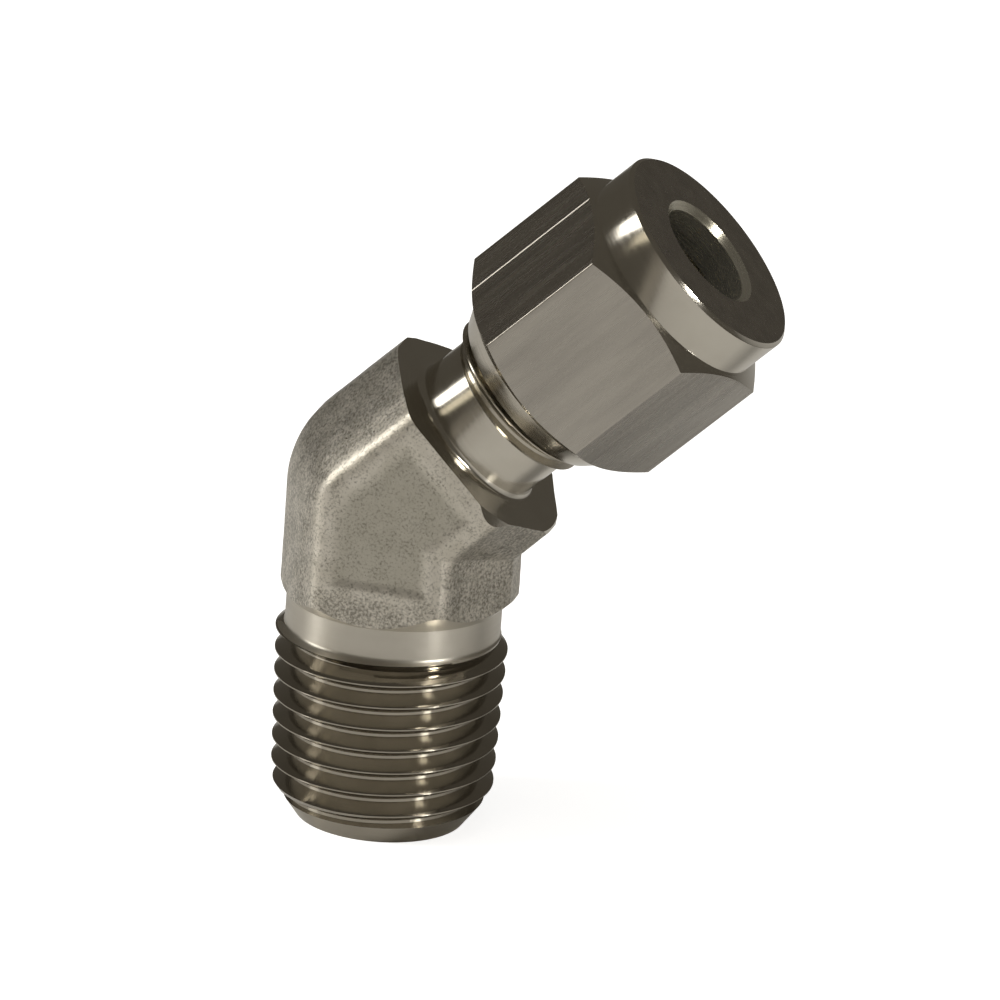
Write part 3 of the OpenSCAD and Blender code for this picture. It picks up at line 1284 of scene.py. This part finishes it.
@dataclass(frozen=True)
class Card:
    """A curved studio card on a sphere round the object, seen only by glossy rays."""

    name: str
    azimuths: tuple[float, float]
    heights: tuple[float, float]
    colour: str
    strength: float
    distance: float = 0.6
    soft: float = 0.0

    def build(self) -> Piece:
        """Makes the card as a patch of a sphere that fades out at its edges.

        Returns:
            The card, linked to the scene.
        """
        mesh = bmesh.new()
        bmesh.ops.create_grid(mesh, x_segments=36, y_segments=18, size=0.5)
        shares = []
        for vert in mesh.verts:
            across, up = vert.co.x + 0.5, vert.co.y + 0.5
            edge = min(across, 1 - across, up, 1 - up)
            shares.append(min(1.0, edge / self.soft) if self.soft else 1.0)
            azimuth = self.azimuths[0] + across * (self.azimuths[1] - self.azimuths[0])
            height = self.heights[0] + up * (self.heights[1] - self.heights[0])
            vert.co = STAGE_CENTRE + heading(azimuth, height) * self.distance
        card = into_object(mesh, self.name)
        card.data.attributes.new("fade", "FLOAT", "POINT").data.foreach_set("value", shares)
        card.data.materials.append(self.material())
        card.visible_camera = card.visible_diffuse = False
        card.visible_shadow = card.visible_transmission = False
        return card

    def material(self) -> bpy.types.Material:
        """Lit fabric or board: it glows evenly, and fades towards its edges.

        Returns:
            The material.
        """
        # White nylon with a lamp behind it: an even glow that shows no weave
        made = bpy.data.materials.new("backlit_nylon")
        tree = bare_tree(made)
        fade = add_node(tree, "ShaderNodeAttribute", attribute_name="fade").outputs["Fac"]
        clear = add_node(tree, "ShaderNodeBsdfTransparent").outputs[0]
        glow = add_node(
            tree, "ShaderNodeEmission", {"Color": linear(self.colour), "Strength": self.strength}
        ).outputs[0]
        seen = add_node(tree, "ShaderNodeMixShader", {0: fade, 1: clear, 2: glow}).outputs[0]
        add_node(tree, "ShaderNodeOutputMaterial", {"Surface": seen})
        return made


@dataclass(frozen=True)
class Lamp:
    """A square area lamp that looks at the object and isn't mirrored in it."""

    name: str
    azimuth: float
    height: float
    distance: float
    size: float
    power: float

    def build(self) -> None:
        """Makes the lamp."""
        data = bpy.data.lights.new(self.name, "AREA")
        data.energy, data.size = self.power, self.size
        lamp = in_scene(self.name, data)
        away = heading(self.azimuth, self.height)
        lamp.location = STAGE_CENTRE + away * self.distance
        lamp.rotation_euler = away.to_track_quat("Z", "Y").to_euler()
        lamp.visible_glossy = False


@dataclass
class Studio:
    """Floor, world, cards and lamps."""

    floor_size: float = 6.0
    cards: tuple[Card, ...] = (
        # A dark tent all round: turned and threaded steel mirrors it as near black
        Card("tent", (-180, 180), (-3, 90), "#58544D", 1.0, distance=0.95),
        # The main light, which draws the white streaks on the left of each round face
        Card("softbox_left", (-82, -66), (4, 36), "#FFFDF8", 6.0, soft=0.12),
        # A dimmer yellowish band beside it
        Card("window_left", (-62, -50), (6, 28), "#F2E9D2", 1.3, soft=0.2),
        # A low wall that gives faces towards the camera their middle grey
        Card("wall_front", (-58, 60), (-3, 12), "#A19B91", 0.8, distance=0.7, soft=0.3),
        # A small lamp that puts one bright spot on each crest of the pipe thread
        Card("lamp_right", (58, 68), (20, 34), "#FFFDF8", 60.0, soft=0.2),
    )
    lamps: tuple[Lamp, ...] = (
        Lamp("light_left", -62, 26, distance=0.8, size=0.3, power=6.2),
        Lamp("light_top", 10, 75, distance=0.9, size=0.6, power=1.6),
    )

    def floor(self) -> Piece:
        """A pale floor that looks white to the camera and keeps a faint shadow.

        Returns:
            The floor, linked to the scene.
        """
        mesh = bmesh.new()
        bmesh.ops.create_grid(mesh, x_segments=1, y_segments=1, size=self.floor_size / 2)
        piece = into_object(mesh, "floor")
        # Board with a satin white paint: matte from above, a blurred mirror at low angles
        made = bpy.data.materials.new("satin_painted_board")
        tree = bare_tree(made)
        path = add_node(tree, "ShaderNodeLightPath")
        paint = add_node(tree, "ShaderNodeBsdfDiffuse", {"Color": linear("#DEDBD5")}).outputs[0]
        lift = add_node(
            tree, "ShaderNodeMath", {0: path.outputs["Is Camera Ray"], 1: 0.8}, operation="MULTIPLY"
        ).outputs[0]
        glow = add_node(
            tree, "ShaderNodeEmission", {"Color": (1, 1, 1, 1), "Strength": lift}
        ).outputs[0]
        facing = add_node(tree, "ShaderNodeFresnel", {"IOR": 1.5}).outputs[0]
        varnish = add_node(tree, "ShaderNodeBsdfGlossy", {"Roughness": 0.12}).outputs[0]
        board = add_node(tree, "ShaderNodeMixShader", {0: facing, 1: paint, 2: varnish}).outputs[0]
        seen = add_node(tree, "ShaderNodeAddShader", {0: board, 1: glow}).outputs[0]
        add_node(tree, "ShaderNodeOutputMaterial", {"Surface": seen})
        piece.data.materials.append(made)
        return piece

    def world(self) -> None:
        """White where it is seen or mirrored, and a plain grey fill elsewhere."""
        world = bpy.data.worlds.new("studio")
        tree = bare_tree(world)
        path = add_node(tree, "ShaderNodeLightPath").outputs
        seen = path["Is Camera Ray"]
        for rays in ("Is Glossy Ray", "Is Transmission Ray"):
            seen = add_node(
                tree, "ShaderNodeMath", {0: seen, 1: path[rays]}, operation="MAXIMUM"
            ).outputs[0]
        strength = add_node(
            tree, "ShaderNodeMapRange", {"Value": seen, "To Min": 0.3, "To Max": 1.0}
        ).outputs[0]
        sky = add_node(
            tree, "ShaderNodeBackground", {"Color": (1, 1, 1, 1), "Strength": strength}
        ).outputs[0]
        add_node(tree, "ShaderNodeOutputWorld", {"Surface": sky})
        bpy.context.scene.world = world

    def build(self) -> None:
        """Sets up everything that isn't the object."""
        self.floor()
        self.world()
        for thing in self.cards + self.lamps:
            thing.build()


@dataclass(frozen=True)
class PhotoView:
    """The camera, found from both arms of the fitting in the photograph."""

    azimuth: float = 13.674
    elevation: float = 18.956
    roll: float = 4.321
    place: tuple[float, float, float] = (0.1237845, -0.4837857, 0.1921022)
    focal_pixels: float = 8765.8
    frame_pixels: float = 1000.0
    sensor: float = 36.0

    def build(self) -> None:
        """Makes the camera and sets it as the scene's."""
        data = bpy.data.cameras.new("photo_view")
        data.sensor_width = self.sensor
        data.sensor_fit = "HORIZONTAL"
        data.lens = self.focal_pixels * self.sensor / self.frame_pixels
        data.clip_start, data.clip_end = 0.05, 20
        camera = in_scene("photo_view", data)
        azimuth, roll = math.radians(self.azimuth), math.radians(self.roll)
        right = Vector((math.cos(azimuth), math.sin(azimuth), 0))
        back = heading(self.azimuth, self.elevation)
        up = back.cross(right)
        rolled_right = right * math.cos(roll) + up * math.sin(roll)
        rolled_up = up * math.cos(roll) - right * math.sin(roll)
        turn = Matrix((rolled_right, rolled_up, back)).transposed().to_4x4()
        camera.matrix_world = Matrix.Translation(self.place) @ turn
        bpy.context.scene.camera = camera


@dataclass
class Finisher:
    """Gives finished pieces their materials, edges, size and place in the frame."""

    sharp_angle: float = math.radians(28)
    slots: dict[Finish, bpy.types.Material] = field(default_factory=dict)

    def dress(self, pipe: Matrix, tube: Matrix) -> None:
        """Makes the material of each finish.

        Args:
            pipe: Where the pipe arm lies, in millimetres.
            tube: Where the tube arm lies, in millimetres.
        """
        # Struck in a die, then pickled: a matte grey skin with fine grain and dark pits
        # Its recessed panel gets painted shade, laid on as a darker colour
        skin = ForgedSkin(
            "die_forged_pickled_stainless",
            "#D2CCC0",
            "#B8B2A4",
            roughness=0.34,
            rough_spread=0.07,
            mark_size=0.2,
            mark_depth=0.02,
            stain_size=1.4,
            stain_share=0.6,
            metallic=0.85,
        )
        # Turned with a fine feed: bright, with rings that draw its reflections out
        turned = TurnedSteel("fine_turned_stainless", "#C9C4B9", "#BDB7AB", 0.15, mark_size=0.13)
        # Turned with a coarser feed: the same rings, but its reflections are soft bands
        neck = TurnedSteel(
            "rough_turned_stainless",
            "#CFCABF",
            "#C3BDB1",
            roughness=0.36,
            rough_spread=0.06,
            mark_size=0.18,
            mark_depth=0.0018,
        )
        # Single point threading leaves smooth flanks that mirror what stands round them
        # Its colour is darker than the neck's as painted shade on the flanks
        pipe_thread = TurnedSteel(
            "single_point_cut_stainless",
            "#ABA599",
            "#989286",
            roughness=0.12,
            rough_spread=0.03,
            mark_depth=0.0006,
            sheen=0.3,
        )
        # Chased with a multi-tooth die: duller flanks, with the die's fine rub marks
        tube_thread = TurnedSteel(
            "die_chased_stainless", "#BDB7AA", "#A9A396", 0.2, mark_depth=0.001, sheen=0.3
        )
        # Drilled and bored, then left with a trace of oil: darker, with blurred rings
        bored = TurnedSteel(
            "bored_oiled_stainless",
            "#BDB8A8",
            "#A39D8C",
            roughness=0.26,
            rough_spread=0.05,
            mark_size=0.15,
            metallic=0.8,
        )
        # Cold drawn through a die: flat and even, with long streaks that follow the bar
        drawn = DrawnSteel(
            "cold_drawn_stainless",
            "#B3AEA5",
            "#95908A",
            roughness=0.26,
            rough_spread=0.06,
            mark_size=0.3,
            mark_depth=0.004,
        )
        for kind, steel, arm in (
            (Finish.FORGED, skin, tube),
            (Finish.PIPE_NECK, neck, pipe),
            (Finish.PIPE_THREAD, pipe_thread, pipe),
            (Finish.TURNED, turned, tube),
            (Finish.TUBE_THREAD, tube_thread, tube),
            (Finish.BORED, bored, tube),
            (Finish.DRAWN, drawn, tube),
        ):
            self.slots[kind] = steel.material(arm)

    def finish(self, piece: Piece, node: str, body: str, slot: str) -> None:
        """Brings a piece into the frame.

        Args:
            piece: The piece, in millimetres.
            node: The node that it replaces.
            body: The body that it rides on.
            slot: Not used.
        """
        piece.data.transform(Matrix.Scale(MM, 4))
        finishes = [0] * len(piece.data.polygons)
        piece.data.polygons.foreach_get("material_index", finishes)
        piece.data.materials.clear()
        for kind in Finish:
            piece.data.materials.append(self.slots[kind])
        piece.data.polygons.foreach_set("material_index", finishes)
        piece.data.shade_smooth()
        piece.data.set_sharp_from_angle(angle=self.sharp_angle)
        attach(piece, body)
        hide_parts(node)
        LOG.info("%s: %d faces, rides on %s", piece.name, len(piece.data.polygons), body)


def main() -> None:
    """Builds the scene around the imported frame."""
    logging.basicConfig(level=logging.INFO, format="%(name)s: %(message)s")
    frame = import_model()
    bpy.context.scene.view_settings.view_transform = "Standard"
    PhotoView().build()
    Studio().build()

    body = ElbowBody()
    place = arm_matrix(body.bend_height, body.bend_angle)
    finisher = Finisher()
    finisher.dress(Matrix.Identity(4), place)
    finisher.finish(body.build(), "elbow_body", "elbow", "forged_body")
    tube = TubeEnd(ForgedBlock(body.bend_height, body.bend_angle).upper_shoulder)
    finisher.finish(Nut(tube.thread, place).build(), "nut", "nut", "nut")
    for name in ("front_ferrule", "back_ferrule"):
        ring = frame["nodes"][name]
        ring.data.materials.clear()
        ring.data.materials.append(finisher.slots[Finish.TURNED])


if __name__ == "__main__":
    main()
